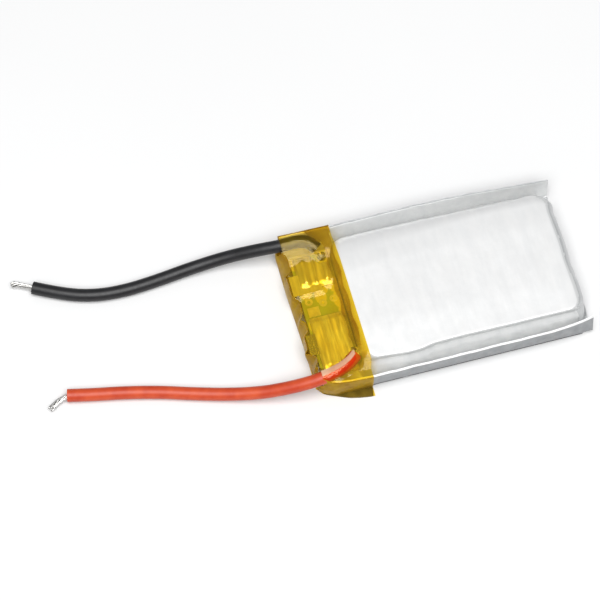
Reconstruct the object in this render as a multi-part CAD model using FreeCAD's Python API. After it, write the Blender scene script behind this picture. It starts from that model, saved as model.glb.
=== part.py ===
import FreeCAD, Part
import math
import os

# Single-cell lithium polymer pack: a heat-sealed laminate pouch with its side seals folded up,
# a protection board on the terminal terrace under a wrap of polyimide tape, and two free leads.
# Millimetres.  The pack lies on its flat back, +Z up.  +X points to the pouch's folded bottom
# end, -X to the terminals, +Y to the side of the black lead ("far"), -Y to the red lead ("near").
# The origin is in the middle of the pack's footprint.

# ---- driving dimensions -----------------------------------------------------------------------
PACK_LENGTH = 30.0
PACK_END = PACK_LENGTH / 2
FOLD_Y = 8.6              # half the width between the two fold lines of the side seals
FILM = 0.11               # pouch laminate
TAPE = 0.06               # polyimide tape
TAPE_RIGHT = -9.15        # the wrap's edge beside the cup
FIN_REACH = 9.8           # half the width over the tape's pinched edges
SEAL_HEIGHT = 3.4         # folded side seals
CUP_TOP = 4.0
CUP_LEFT = -8.7
CUP_RIGHT = 14.9
CUP_NEAR = -7.5
CUP_FAR = 7.9
CUP_CORNER = 1.6
CUP_SHOULDER = 0.6

# How far the top of each side seal leans out from its fold line, by place along the pack.
FAR_LEAN = [(-14.6, 0.95), (-9.0, 0.90), (1.0, 0.88), (8.0, 0.62), (PACK_END, 0.05)]
NEAR_LEAN = [(-14.6, 0.50), (-9.0, 0.55), (11.0, 0.48), (13.0, 0.25), (PACK_END, -0.10)]

# terminal terrace
TERRACE_LEFT = -14.6
JOGGLE_X = -9.05          # where the laminate steps up by the tape that passes under it
TAB_Y = 3.6               # distance of each cell tab from the middle
TAB_WIDTH = 2.4
TAB_THICK = 0.10
SEALANT_THICK = 0.26
SEALANT_SIDE = 0.5        # sealant showing each side of a tab

# electrode stack
STACK_LEFT = -7.5
STACK_RIGHT = 13.9
STACK_NEAR = -6.9
STACK_FAR = 6.6
STACK_BASE = 0.18
PLATE_THICK = 0.185
SEPARATOR_THICK = 0.04
CATHODE_COUNT = 7
PLATE_CORNER = 1.3

# protection board
BOARD_LEFT = -14.2
BOARD_RIGHT = -9.9
BOARD_NEAR = -6.4
BOARD_FAR = 6.9
BOARD_BASE = 1.75
BOARD_THICK = 0.75
BOARD_TOP = BOARD_BASE + BOARD_THICK
PAD_THICK = 0.04
INSULATOR_BASE = 0.56
CHIP_BASE = 0.75          # underside of the chips, which hang under the board
STRIP_THICK = 0.12
STRIP_RIM = 0.26          # height of a nickel strip's turned-up long edges

# leads
LEAD_RADIUS = 0.70
BORE_RADIUS = 0.32
CORE_RADIUS = 0.30        # bundle of tinned strands
ARC_SHARE = 0.45          # part of the shorter run that a bend's tangent takes

# Routes of the leads' centre lines, from the board to the cut end of the insulation.
BLACK_ROUTE = [
    (-11.05, 7.25, 3.02),
    (-11.40, 7.80, 3.20),
    (-12.05, 8.30, 3.30),
    (-13.10, 8.48, 3.34),
    (-14.60, 8.42, 3.28),
    (-17.20, 8.90, 2.72),
    (-20.60, 9.54, 1.60),
    (-24.50, 9.60, 0.86),
    (-28.30, 9.18, 0.71),
    (-31.60, 8.92, 0.71),
    (-34.80, 9.12, 0.71),
    (-38.10, 10.12, 0.71),
    (-41.25, 11.85, 0.71),
]
RED_ROUTE = [
    (-10.35, -6.15, 3.26),
    (-10.85, -6.62, 3.31),
    (-11.50, -7.06, 3.34),
    (-12.45, -7.44, 3.33),
    (-13.70, -7.74, 3.28),
    (-15.40, -7.86, 3.02),
    (-17.80, -7.56, 2.30),
    (-20.70, -6.95, 1.42),
    (-24.10, -5.95, 0.84),
    (-27.60, -4.85, 0.71),
    (-31.20, -3.66, 0.71),
    (-34.80, -2.76, 0.71),
    (-38.00, -2.14, 0.71),
    (-40.50, -1.55, 0.71),
]
BLACK_PAD = (-10.72, 6.42)
RED_PAD = (-10.42, -5.40)
BARE_LENGTH = 2.4         # stripped end of each lead
KNEE_LENGTH = 0.38        # stripped stub before the bend down to the pad


# ---- helpers ----------------------------------------------------------------------------------
def vector(point):
    return FreeCAD.Vector(*point)


def box(x0, x1, y0, y1, z0, z1):
    return Part.makeBox(x1 - x0, y1 - y0, z1 - z0, FreeCAD.Vector(x0, y0, z0))


def fuse(solids):
    return solids[0].multiFuse(solids[1:]).removeSplitter() if len(solids) > 1 else solids[0]


def is_upright(edge):
    start = edge.Vertexes[0].Point
    end = edge.Vertexes[-1].Point
    return math.hypot(start.x - end.x, start.y - end.y) < 1e-6 and abs(start.z - end.z) > 1e-6


def rounded_box(x0, x1, y0, y1, z0, z1, radius):
    block = box(x0, x1, y0, y1, z0, z1)
    return block.makeFillet(radius, [edge for edge in block.Edges if is_upright(edge)])


def domed_box(x0, x1, y0, y1, z0, z1, corner, shoulder):
    """A block with rounded upright corners and a rounded top edge."""
    block = rounded_box(x0, x1, y0, y1, z0, z1, corner)
    top_edges = [edge for edge in block.Edges if all(abs(v.Z - z1) < 1e-6 for v in edge.Vertexes)]
    return block.makeFillet(shoulder, top_edges)


def save(node, shape):
    shape.exportStep("parts/" + node + ".step")
    print("%-26s %8.3f mm3  valid %s" % (node, shape.Volume, shape.isValid()))


# ---- pouch ------------------------------------------------------------------------------------
def seal_ply(side, stations, inner_gap, outer_gap, base):
    """One ply of a folded-up side seal.  The gaps are measured inwards from its outer face."""
    wires = []
    for x, lean in stations:
        foot = FOLD_Y + lean * base / SEAL_HEIGHT
        head = FOLD_Y + lean
        corners = [(foot - outer_gap, base), (head - outer_gap, SEAL_HEIGHT),
                   (head - inner_gap, SEAL_HEIGHT), (foot - inner_gap, base)]
        points = [FreeCAD.Vector(x, side * y, z) for y, z in corners]
        wires.append(Part.makePolygon(points + points[:1]))
    spans = [Part.makeLoft(list(pair), True, True) for pair in zip(wires, wires[1:])]
    return fuse(spans)


def side_seals(inner_gap, outer_gap, base):
    return [seal_ply(1, FAR_LEAN, inner_gap, outer_gap, base),
            seal_ply(-1, NEAR_LEAN, inner_gap, outer_gap, base)]


def tape_passage():
    """The space that the tape takes under the terminal end of the laminate."""
    return box(TERRACE_LEFT - 1, JOGGLE_X, -FOLD_Y - 1, FOLD_Y + 1, -1, TAPE)


def back_film():
    flat = box(JOGGLE_X, PACK_END, -FOLD_Y, FOLD_Y, 0, FILM)
    terrace = box(TERRACE_LEFT, JOGGLE_X + FILM, -FOLD_Y, FOLD_Y, TAPE, TAPE + FILM)
    film = fuse([flat, terrace] + side_seals(FILM, 0.0, 0.0))
    return film.cut(tape_passage())


def tab_tunnel(y, wall, sealed):
    """The low tunnel that the front laminate forms over a tab and its sealant."""
    half = TAB_WIDTH / 2 + SEALANT_SIDE + wall
    base = TAPE + FILM
    right = CUP_LEFT + FILM if sealed else CUP_LEFT + 0.5
    return box(TERRACE_LEFT, right, y - half, y + half, base, base + SEALANT_THICK + wall)


def cup_solid(inset):
    return domed_box(CUP_LEFT + inset, CUP_RIGHT - inset, CUP_NEAR + inset, CUP_FAR - inset,
                     FILM, CUP_TOP - inset, CUP_CORNER - inset, CUP_SHOULDER - inset)


def front_film():
    edge = FOLD_Y - FILM
    flat = box(JOGGLE_X + FILM, PACK_END, -edge, edge, FILM, 2 * FILM)
    terrace = box(TERRACE_LEFT, JOGGLE_X + 2 * FILM, -edge, edge, TAPE + FILM, TAPE + 2 * FILM)
    tunnels = [tab_tunnel(side * TAB_Y, FILM, True) for side in (1, -1)]
    film = fuse([flat, terrace, cup_solid(0.0)] + tunnels + side_seals(2 * FILM, FILM, FILM))
    film = film.cut(cup_solid(FILM))
    for side in (1, -1):
        film = film.cut(tab_tunnel(side * TAB_Y, 0.0, False))
    return film.cut(back_film())


# ---- electrode stack --------------------------------------------------------------------------
def plate_levels(first, count):
    pitch = 2 * (PLATE_THICK + SEPARATOR_THICK)
    return [first + pitch * index for index in range(count)]


def electrode_plates(first, count, inset, lug_y):
    """Coated foil plates, each with a bare foil lug that reaches the foot of its tab."""
    plates = []
    for z in plate_levels(first, count):
        sheet = rounded_box(STACK_LEFT + inset, STACK_RIGHT - inset, STACK_NEAR + inset,
                            STACK_FAR - inset, z, z + PLATE_THICK, PLATE_CORNER)
        lug = box(foot_face(), STACK_LEFT + inset + 0.5, lug_y - TAB_WIDTH / 2, lug_y + TAB_WIDTH / 2,
                  z + 0.08, z + 0.12)
        plates.append(fuse([sheet, lug]))
    return Part.makeCompound(plates)


def foot_face():
    """The face of a tab's foot that the foil lugs are welded to."""
    return CUP_LEFT + 0.25 + TAB_THICK


def separator_sheets():
    sheets = []
    for index in range(2 * CATHODE_COUNT):
        z = STACK_BASE + PLATE_THICK + index * (PLATE_THICK + SEPARATOR_THICK)
        sheets.append(rounded_box(STACK_LEFT - 0.1, STACK_RIGHT + 0.1, STACK_NEAR - 0.1,
                                  STACK_FAR + 0.1, z, z + SEPARATOR_THICK, PLATE_CORNER))
    return Part.makeCompound(sheets)


def stack_top():
    return STACK_BASE + (2 * CATHODE_COUNT + 1) * PLATE_THICK + 2 * CATHODE_COUNT * SEPARATOR_THICK


def stack_wrap():
    gap = 0.12
    x0, x1 = 8.0, 12.0
    inner = box(x0 - 1, x1 + 1, STACK_NEAR - gap, STACK_FAR + gap, STACK_BASE - 0.02, stack_top() + 0.02)
    outer = box(x0, x1, STACK_NEAR - gap - 0.04, STACK_FAR + gap + 0.04,
                STACK_BASE - 0.05, stack_top() + 0.05)
    return outer.cut(inner)


# ---- cell tabs --------------------------------------------------------------------------------
def cell_tab(side):
    """Metal tab: foot inside the cup, out through the seal, up and back over its nickel strip."""
    y0 = side * TAB_Y - TAB_WIDTH / 2
    y1 = side * TAB_Y + TAB_WIDTH / 2
    low = TAPE + FILM + (SEALANT_THICK - TAB_THICK) / 2
    high = BOARD_TOP + PAD_THICK + STRIP_THICK
    turn = TERRACE_LEFT - 0.2
    runs = [box(turn, foot_face(), y0, y1, low, low + TAB_THICK),
            box(foot_face() - TAB_THICK, foot_face(), y0, y1, low, stack_top() - 0.05),
            box(turn, turn + TAB_THICK, y0, y1, low, high + TAB_THICK),
            box(turn, BOARD_LEFT + 2.6, y0, y1, high, high + TAB_THICK)]
    return fuse(runs)


def tab_sealant(side):
    y = side * TAB_Y
    half = TAB_WIDTH / 2 + SEALANT_SIDE
    base = TAPE + FILM
    block = box(TERRACE_LEFT, CUP_LEFT + 0.2, y - half, y + half, base, base + SEALANT_THICK)
    return block.cut(cell_tab(side)).cut(back_film())


# ---- protection board -------------------------------------------------------------------------
def board_insulator():
    return rounded_box(BOARD_LEFT + 0.1, BOARD_RIGHT - 0.1, -6.6, 7.0, INSULATOR_BASE, CHIP_BASE, 0.3)


def board_blank():
    return rounded_box(BOARD_LEFT, BOARD_RIGHT, BOARD_NEAR, BOARD_FAR, BOARD_BASE, BOARD_TOP, 0.25)


def ring_pad(x, y):
    outer = Part.makeCylinder(0.42, PAD_THICK, FreeCAD.Vector(x, y, BOARD_TOP))
    return outer.cut(Part.makeCylinder(0.18, PAD_THICK, FreeCAD.Vector(x, y, BOARD_TOP)))


def flat_pad(x, y, size_x, size_y):
    return box(x - size_x / 2, x + size_x / 2, y - size_y / 2, y + size_y / 2,
               BOARD_TOP, BOARD_TOP + PAD_THICK)


def board_pads():
    """Tinned copper on top of the board: strip pads, lead pads, and test pads in the middle."""
    strips = [flat_pad(-12.0, y, 3.0, 2.6) for y in (4.4, -2.4)]
    leads = [flat_pad(x, y, 1.2, 1.0) for x, y in (BLACK_PAD, RED_PAD)]
    squares = [flat_pad(-13.15, 0.25, 1.25, 1.1), flat_pad(-13.3, 2.35, 0.9, 0.5),
               flat_pad(-11.9, 2.3, 0.8, 0.6)]
    rings = [ring_pad(x, y) for x, y in ((-13.4, 1.5), (-11.95, 1.05), (-10.75, 1.3))]
    return Part.makeCompound(strips + leads + squares + rings)


def chip_body(y):
    return rounded_box(-12.85, -11.25, y - 1.45, y + 1.45, CHIP_BASE, BOARD_BASE - 0.05, 0.08)


def chip_leads(y):
    """Six bent leads from the body's sides up to the board's underside."""
    leads = []
    for offset in (-0.95, 0.0, 0.95):
        for side, edge in ((-1, -12.85), (1, -11.25)):
            y0 = y + offset - 0.2
            y1 = y + offset + 0.2
            near, knee, toe = edge, edge + side * 0.25, edge + side * 0.60
            runs = [box(min(near, knee), max(near, knee), y0, y1, 1.20, 1.32),
                    box(min(knee, knee - side * 0.12), max(knee, knee - side * 0.12), y0, y1, 1.20, BOARD_BASE),
                    box(min(knee, toe), max(knee, toe), y0, y1, BOARD_BASE - 0.12, BOARD_BASE)]
            leads.append(fuse(runs))
    return Part.makeCompound(leads)


def chip_component(x, y, height):
    """A small two-terminal component under the board."""
    return rounded_box(x - 0.25, x + 0.25, y - 0.5, y + 0.5, BOARD_BASE - height, BOARD_BASE, 0.05)


def nickel_strip(y0, y1, tab_side, lead_pad):
    """Nickel strip with turned-up long edges, the left one notched where the cell tab comes in.
    Its corner beside the cup is cut away round the lead's solder joint."""
    x0 = BOARD_LEFT + 0.35
    x1 = BOARD_RIGHT - 0.45
    z0 = BOARD_TOP + PAD_THICK
    plate = box(x0, x1, y0, y1, z0, z0 + STRIP_THICK)
    rims = [box(x, x + STRIP_THICK, y0, y1, z0, z0 + STRIP_RIM) for x in (x0, x1 - STRIP_THICK)]
    notch_half = TAB_WIDTH / 2 + 0.1
    notch = box(x0 - 1, x0 + 1, tab_side * TAB_Y - notch_half, tab_side * TAB_Y + notch_half,
                z0 + STRIP_THICK, z0 + 2)
    joint_room = box(lead_pad[0] - 0.68, x1 + 1, lead_pad[1] - 0.66, lead_pad[1] + 0.66, z0 - 1, z0 + 1)
    return fuse([plate] + rims).cut(notch).cut(joint_room)


# ---- leads ------------------------------------------------------------------------------------
def route_edges(points):
    """Straight runs joined by tangent arcs, each as large as its two runs allow."""
    corners = [vector(point) for point in points]
    edges = []
    radii = []
    start = corners[0]
    for before, corner, after in zip(corners, corners[1:], corners[2:]):
        back = (before - corner).normalize()
        ahead = (after - corner).normalize()
        half_turn = (math.pi - back.getAngle(ahead)) / 2
        shorter = min((before - corner).Length, (after - corner).Length)
        radius = ARC_SHARE * shorter / math.tan(half_turn)
        entry = corner + back * (ARC_SHARE * shorter)
        leave = corner + ahead * (ARC_SHARE * shorter)
        to_centre = (back + ahead).normalize()
        middle = corner + to_centre * (radius / math.cos(half_turn) - radius)
        edges.append(Part.LineSegment(start, entry).toShape())
        edges.append(Part.Arc(entry, middle, leave).toShape())
        radii.append(radius)
        start = leave
    edges.append(Part.LineSegment(start, corners[-1]).toShape())
    return edges, radii


def pipe(edges, start, towards, radius):
    wire = Part.Wire(edges)
    circle = Part.Wire(Part.makeCircle(radius, start, towards - start))
    return wire.makePipeShell([circle], True, True)


def bare_end(route):
    """The straight stripped end, in line with the last run."""
    end = vector(route[-1])
    ahead = (end - vector(route[-2])).normalize()
    return Part.LineSegment(end, end + ahead * BARE_LENGTH).toShape()


def pad_bend(route, pad):
    """The stripped board end: from its pad, round a knee, into the insulation."""
    start = vector(route[0])
    knee = start + (start - vector(route[1])).normalize() * KNEE_LENGTH
    on_pad = (pad[0], pad[1], BOARD_TOP + PAD_THICK + CORE_RADIUS)
    edges, _ = route_edges([on_pad, tuple(knee), route[0]])
    return vector(on_pad), knee, edges


def lead_core(route, pad):
    first, knee, bend = pad_bend(route, pad)
    edges, _ = route_edges(route)
    return pipe(bend + edges + [bare_end(route)], first, knee, CORE_RADIUS)


def lead_insulation(name, route):
    edges, radii = route_edges(route)
    length = Part.Wire(edges).Length
    start, towards = vector(route[0]), vector(route[1])
    tube = pipe(edges, start, towards, LEAD_RADIUS).cut(pipe(edges, start, towards, BORE_RADIUS))
    expected = math.pi * (LEAD_RADIUS ** 2 - BORE_RADIUS ** 2) * length
    print(name, "length %.2f mm, volume over section x length %.4f" % (length, tube.Volume / expected))
    print("   radii", " ".join("%.1f" % radius for radius in radii))
    return tube


def solder_joint(pad, core, insulation):
    """A flattened mound that holds the end of a conductor on its pad."""
    z0 = BOARD_TOP + PAD_THICK
    mound = Part.makeCone(0.55, 0.38, 0.5, FreeCAD.Vector(pad[0], pad[1], z0))
    return mound.cut(core).cut(insulation)


# ---- tape -------------------------------------------------------------------------------------
def tape_outline():
    """Outer section of the wrap: round the folded seals and over the leads and the board."""
    far = FOLD_Y + TAPE + 0.02
    near = -far
    head = SEAL_HEIGHT + TAPE + 0.01
    return [(near, 0.0), (near - 0.60, head), (-8.60, 4.12), (-5.50, 4.10), (-4.30, 3.12),
            (5.50, 3.12), (6.90, 3.96), (8.00, 4.14), (8.90, 4.14), (far + 0.97, head), (far, 0.0)]


def tape_fin(side):
    """The tape's two ends pinched together along the base of the pack's side."""
    root = FOLD_Y - 0.02
    corners = [(-14.9, root), (-14.4, 8.95), (-12.3, 9.45), (-9.4, FIN_REACH), (TAPE_RIGHT, root)]
    points = [FreeCAD.Vector(x, side * y, 0) for x, y in corners]
    face = Part.Face(Part.makePolygon(points + points[:1]))
    return face.extrude(FreeCAD.Vector(0, 0, 2 * TAPE))


def tape_wrap():
    outline = tape_outline()
    points = [FreeCAD.Vector(-PACK_END, y, z) for y, z in outline]
    outer = Part.makePolygon(points + points[:1])
    inner = outer.makeOffset2D(-TAPE)
    length = FreeCAD.Vector(PACK_END + TAPE_RIGHT, 0, 0)
    band = Part.Face(outer).extrude(length).cut(Part.Face(inner).extrude(length))
    fins = [tape_fin(side).cut(Part.Face(outer).extrude(length)) for side in (1, -1)]
    return fuse([band] + fins)


# ---- build ------------------------------------------------------------------------------------
def build():
    os.makedirs("parts", exist_ok=True)
    save("pouch_front_film", front_film())
    save("pouch_back_film", back_film())
    anode_first = STACK_BASE
    cathode_first = STACK_BASE + PLATE_THICK + SEPARATOR_THICK
    save("cathode_plates", electrode_plates(cathode_first, CATHODE_COUNT, 0.1, -TAB_Y))
    save("anode_plates", electrode_plates(anode_first, CATHODE_COUNT + 1, 0.0, TAB_Y))
    save("separator_sheets", separator_sheets())
    save("stack_wrap_tape", stack_wrap())
    for name, side in (("negative", 1), ("positive", -1)):
        save(name + "_tab", cell_tab(side))
        save(name + "_tab_sealant", tab_sealant(side))
    save("board_insulator", board_insulator())
    save("protection_board", board_blank())
    save("board_pads", board_pads())
    save("protection_chip", chip_body(-2.0))
    save("protection_chip_leads", chip_leads(-2.0))
    save("dual_transistor", chip_body(3.4))
    save("dual_transistor_leads", chip_leads(3.4))
    save("resistors", Part.makeCompound([chip_component(x, 0.7, 0.35) for x in (-13.2, -12.3)]))
    save("capacitor", chip_component(-11.2, 0.7, 0.5))
    save("negative_nickel_strip", nickel_strip(2.95, 6.75, 1, BLACK_PAD))
    save("positive_nickel_strip", nickel_strip(-5.85, -0.50, -1, RED_PAD))
    for name, sign, route, pad in (("black", "negative", BLACK_ROUTE, BLACK_PAD),
                                   ("red", "positive", RED_ROUTE, RED_PAD)):
        core = lead_core(route, pad)
        insulation = lead_insulation(name, route)
        save(name + "_lead_insulation", insulation)
        save(name + "_lead_conductor", core)
        save(sign + "_solder_joint", solder_joint(pad, core, insulation))
    save("polyimide_tape_wrap", tape_wrap())


build()
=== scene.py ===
import math

import bmesh
import bpy
import numpy as np
from mathutils import Matrix, Vector, noise
from mathutils.bvhtree import BVHTree


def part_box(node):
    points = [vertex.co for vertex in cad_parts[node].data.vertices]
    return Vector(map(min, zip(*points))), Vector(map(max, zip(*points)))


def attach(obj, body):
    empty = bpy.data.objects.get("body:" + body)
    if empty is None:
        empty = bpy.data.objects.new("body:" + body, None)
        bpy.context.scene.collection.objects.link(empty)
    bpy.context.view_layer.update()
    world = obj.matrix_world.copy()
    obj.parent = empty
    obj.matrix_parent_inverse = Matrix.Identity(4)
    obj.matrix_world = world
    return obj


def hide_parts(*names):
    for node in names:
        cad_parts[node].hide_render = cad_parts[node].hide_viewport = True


# A lithium polymer pouch pack on a pale floor.  The CAD frame gives the board, its parts and the
# cell's insides.  The laminate pouch, the nickel strips, the tape and the leads are modelled here.
# Lengths are in millimetres until a mesh, curve or light is made, which turns them into metres.
# +X points to the pouch's folded bottom end, +Y to the side of the black lead, +Z up.

MM = 0.001

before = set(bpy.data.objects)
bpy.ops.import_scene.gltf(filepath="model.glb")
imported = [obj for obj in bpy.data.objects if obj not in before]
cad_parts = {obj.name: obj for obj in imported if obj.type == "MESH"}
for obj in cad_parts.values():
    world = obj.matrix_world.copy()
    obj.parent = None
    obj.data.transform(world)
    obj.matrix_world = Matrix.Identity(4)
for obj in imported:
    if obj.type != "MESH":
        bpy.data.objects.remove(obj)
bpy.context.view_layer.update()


def box_mm(node):
    """Lowest and highest corner of a CAD node, in millimetres."""
    low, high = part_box(node)
    return np.array(low) / MM, np.array(high) / MM


BACK_LOW, BACK_HIGH = box_mm("pouch_back_film")
TAPE_LOW, TAPE_HIGH = box_mm("polyimide_tape_wrap")

PACK_END = BACK_HIGH[0]
TERRACE_LEFT = BACK_LOW[0]
TAPE_LEFT = TAPE_LOW[0]
TAPE_RIGHT = TAPE_HIGH[0]
SEAL_TOP = BACK_HIGH[2]
CUP_TOP = box_mm("pouch_front_film")[1][2]
FOLD_Y = 8.6
RING_HEIGHT = 0.22
LAMINATE_SKIN = 0.099
TAPE_FILM = 0.05


# ---- small helpers ----
def smooth(low, high, value):
    """0 at low, 1 at high, smooth between them and flat beyond."""
    t = np.clip((value - low) / (high - low), 0.0, 1.0)
    return t * t * (3 - 2 * t)


def bump(centre, width, value):
    """A bell curve: 1 at its centre, with a width to each side."""
    return np.exp(-((value - centre) / width) ** 2)


def noise_field(points, scale, seed):
    """Perlin noise at each point of an (N, 3) array, with a size along each axis."""
    shift = Vector((seed * 17.13, seed * 5.71, seed * 9.37))
    return np.array([noise.noise(Vector(p) + shift) for p in points / np.array(scale)])


def crease_field(points, scale, seed):
    """Flat facets with sharp folds between them, from 0 to about 1."""
    shift = Vector((seed * 3.7, seed * 11.9, seed * 7.3))
    distances = [noise.voronoi(Vector(p) + shift)[0] for p in points / np.array(scale)]
    return np.array([second - first for first, second, *_ in distances])


def add_object(name, data):
    piece = bpy.data.objects.new(name, data)
    bpy.context.scene.collection.objects.link(piece)
    return piece


def mesh_piece(name, points, faces, material, shade_smooth=True):
    """A new object from points in millimetres and faces, in one material."""
    mesh = bpy.data.meshes.new(name)
    mesh.from_pydata((np.asarray(points) * MM).tolist(), [], faces)
    weld(mesh)
    if shade_smooth:
        mesh.shade_smooth()
    mesh.materials.append(material)
    return add_object(name, mesh)


def weld(mesh):
    """Joins points that lie on each other, so that a seam or a shut tip has no gap."""
    work = bmesh.new()
    work.from_mesh(mesh)
    bmesh.ops.remove_doubles(work, verts=work.verts, dist=0.002 * MM)
    bmesh.ops.dissolve_degenerate(work, edges=work.edges, dist=0.0005 * MM)
    work.to_mesh(mesh)
    work.free()
    mesh.update()


def grid_faces(rows, columns, wrap=False, start=0):
    """Quads of a grid of rows x columns points, with its columns joined round if wrap is set."""
    faces = []
    last = columns if wrap else columns - 1
    for row in range(start, start + (rows - 1) * columns, columns):
        for c in range(last):
            d = (c + 1) % columns
            faces.append((row + c, row + d, row + columns + d, row + columns + c))
    return faces


def join_grids(grids):
    """One list of points and one of faces from several (rows, columns, 3) grids."""
    points, faces = [], []
    start = 0
    for grid, wrap in grids:
        rows, columns = grid.shape[:2]
        points.append(grid.reshape(-1, 3))
        faces += grid_faces(rows, columns, wrap, start)
        start += rows * columns
    return np.concatenate(points), faces


def thicken(piece, thickness):
    """Gives a sheet its thickness, behind the outer face that its points describe."""
    solid = piece.modifiers.new("thickness", "SOLIDIFY")
    solid.thickness = thickness * MM
    solid.offset = -1.0


def finish_faces(piece, finishes, kind_of):
    """Each face gets the finish that kind_of numbers for it; 0 is the material that it has."""
    for finish in finishes:
        piece.data.materials.append(finish)
    for face in piece.data.polygons:
        face.material_index = kind_of(face)


def place(piece, slot, *nodes):
    """The piece rides on the pack and stands for CAD nodes, which it hides; slot is not used."""
    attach(piece, "root")
    if nodes:
        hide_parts(*nodes)


# ---- material helpers ----
class Shader:
    """A node material with a Principled shader, and short calls for what is linked to it."""

    def __init__(self, name, **values):
        self.material = bpy.data.materials.new(name)
        self.material.use_nodes = True
        self.tree = self.material.node_tree
        self.bsdf = self.tree.nodes["Principled BSDF"]
        self.output = self.tree.nodes["Material Output"]
        self.coordinates = self.tree.nodes.new("ShaderNodeTexCoord").outputs["Object"]
        self.preset(self.bsdf, values)

    def preset(self, node, values):
        for key, value in values.items():
            node.inputs[key.replace("_", " ")].default_value = value

    def node(self, kind, **values):
        """A new node with some of its inputs set."""
        node = self.tree.nodes.new("ShaderNode" + kind)
        self.preset(node, values)
        return node

    def link(self, source, target):
        self.tree.links.new(source, target)

    def scaled(self, scale):
        """Object coordinates, stretched along each axis."""
        mapping = self.node("Mapping", Scale=scale)
        self.link(self.coordinates, mapping.inputs["Vector"])
        return mapping.outputs["Vector"]

    def noise(self, scale, detail=3.0, roughness=0.5, stretch=(1, 1, 1)):
        texture = self.node("TexNoise", Scale=scale, Detail=detail, Roughness=roughness)
        self.link(self.scaled(stretch), texture.inputs["Vector"])
        return texture.outputs["Fac"]

    def cells(self, scale, feature="F1", stretch=(1, 1, 1)):
        texture = self.node("TexVoronoi", Scale=scale)
        texture.feature = feature
        self.link(self.scaled(stretch), texture.inputs["Vector"])
        return texture.outputs["Distance"]

    def ramp(self, source, stops):
        """source turned into a colour by (position, colour) stops."""
        ramp = self.node("ValToRGB")
        elements = ramp.color_ramp.elements
        while len(elements) < len(stops):
            elements.new(0.5)
        for element, (position, color) in zip(elements, stops):
            element.position = position
            element.color = (*color, 1.0)
        self.link(source, ramp.inputs["Fac"])
        return ramp.outputs["Color"]

    def span(self, source, low, high, start=0.0, end=1.0):
        """source, from start to end, turned into low to high."""
        span = self.node("MapRange", From_Min=start, From_Max=end, To_Min=low, To_Max=high)
        self.link(source, span.inputs["Value"])
        return span.outputs["Result"]

    def grazing(self, normal):
        """0 where the surface is seen head on, rising steeply to 1 where it is seen edge on."""
        weight = self.node("LayerWeight", Blend=0.5)
        self.link(normal, weight.inputs["Normal"])
        power = self.node("Math")
        power.operation = "POWER"
        power.inputs[1].default_value = 5.0
        self.link(weight.outputs["Facing"], power.inputs[0])
        return power.outputs["Value"]

    def color(self, source, *stops):
        self.link(self.ramp(source, stops), self.bsdf.inputs["Base Color"])

    def roughness(self, source, low, high):
        self.link(self.span(source, low, high), self.bsdf.inputs["Roughness"])

    def mix(self, factor, *shaders):
        mix = self.node("MixShader")
        for source, target in zip((factor, *shaders), mix.inputs):
            self.link(source, target)
        return mix.outputs["Shader"]

    def bumps(self, *layers):
        """Each layer is (height, distance in mm); they add up into the shader's normal."""
        normal = None
        for height, distance in layers:
            node = self.node("Bump", Distance=distance * MM)
            self.link(height, node.inputs["Height"])
            if normal is not None:
                self.link(normal, node.inputs["Normal"])
            normal = node.outputs["Normal"]
        self.link(normal, self.bsdf.inputs["Normal"])
        return normal


def laminate_material(name, dark, light):
    """Nylon over aluminium foil: satin metal with soft drawn wrinkles."""
    shader = Shader(name, Metallic=0.42, IOR=1.5)
    cloud = shader.noise(620, 4, 0.6, (1.8, 0.4, 1.0))
    shader.color(cloud, (0.34, dark), (0.64, light))
    shader.roughness(shader.noise(900, 2), 0.32, 0.42)
    ripple = shader.noise(420, 2, 0.5, (1.6, 0.45, 1.0))
    grain = shader.noise(5200, 2, 0.6)
    shader.bumps((ripple, 0.05), (grain, 0.003))
    return shader.material


def tape_material(name, tint, body_color, haze, gloss, gloss_roughness=0.10):
    """Amber polyimide film: a tinted clear body with some haze, under a gloss of (head on, edge on)."""
    shader = Shader(name, Roughness=0.5, Specular_IOR_Level=0.0)
    cloud = shader.noise(700, 3, 0.6, (1.0, 0.5, 1.0))
    shader.color(cloud, (0.30, body_color[0]), (0.70, body_color[1]))
    crinkle = shader.cells(900, "DISTANCE_TO_EDGE", (1.0, 0.55, 1.0))
    normal = shader.bumps((shader.noise(1500, 3, 0.6, (1.0, 0.5, 1.0)), 0.014), (crinkle, 0.008))
    clear = shader.node("BsdfTransparent")
    shader.link(shader.ramp(cloud, [(0.25, tint[0]), (0.75, tint[1])]), clear.inputs["Color"])
    hazy = shader.span(cloud, 0.7 * haze, 1.3 * haze)
    body = shader.mix(hazy, clear.outputs["BSDF"], shader.bsdf.outputs["BSDF"])
    mirror = shader.node("BsdfGlossy", Roughness=gloss_roughness, Color=(1.0, 0.93, 0.76, 1.0))
    shader.link(normal, mirror.inputs["Normal"])
    coated = shader.mix(shader.span(shader.grazing(normal), *gloss), body, mirror.outputs["BSDF"])
    shader.link(coated, shader.output.inputs["Surface"])
    return shader.material


def insulation_material(name, dark, light):
    """Soft PVC over a lead: satin, with a fine grain."""
    shader = Shader(name, IOR=1.48)
    cloud = shader.noise(650, 3, 0.55)
    shader.color(cloud, (0.32, dark), (0.70, light))
    shader.roughness(shader.noise(2200, 2), 0.34, 0.50)
    shader.bumps((shader.noise(1400, 3, 0.6), 0.012), (shader.noise(6000, 2, 0.5), 0.003))
    return shader.material


def metal_material(name, color, roughness, stretch=(1, 1, 1), scale=1500, depth=0.004, metallic=1.0,
                   contrast=0.82):
    """Metal with a fine cloudy grain, in tones from contrast times its colour up to the colour."""
    shader = Shader(name, Metallic=metallic)
    cloud = shader.noise(scale, 3, 0.6, stretch)
    shader.color(cloud, (0.30, tuple(contrast * c for c in color)), (0.70, color))
    shader.roughness(cloud, roughness * 0.75, roughness * 1.3)
    shader.bumps((cloud, depth))
    return shader.material


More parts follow.
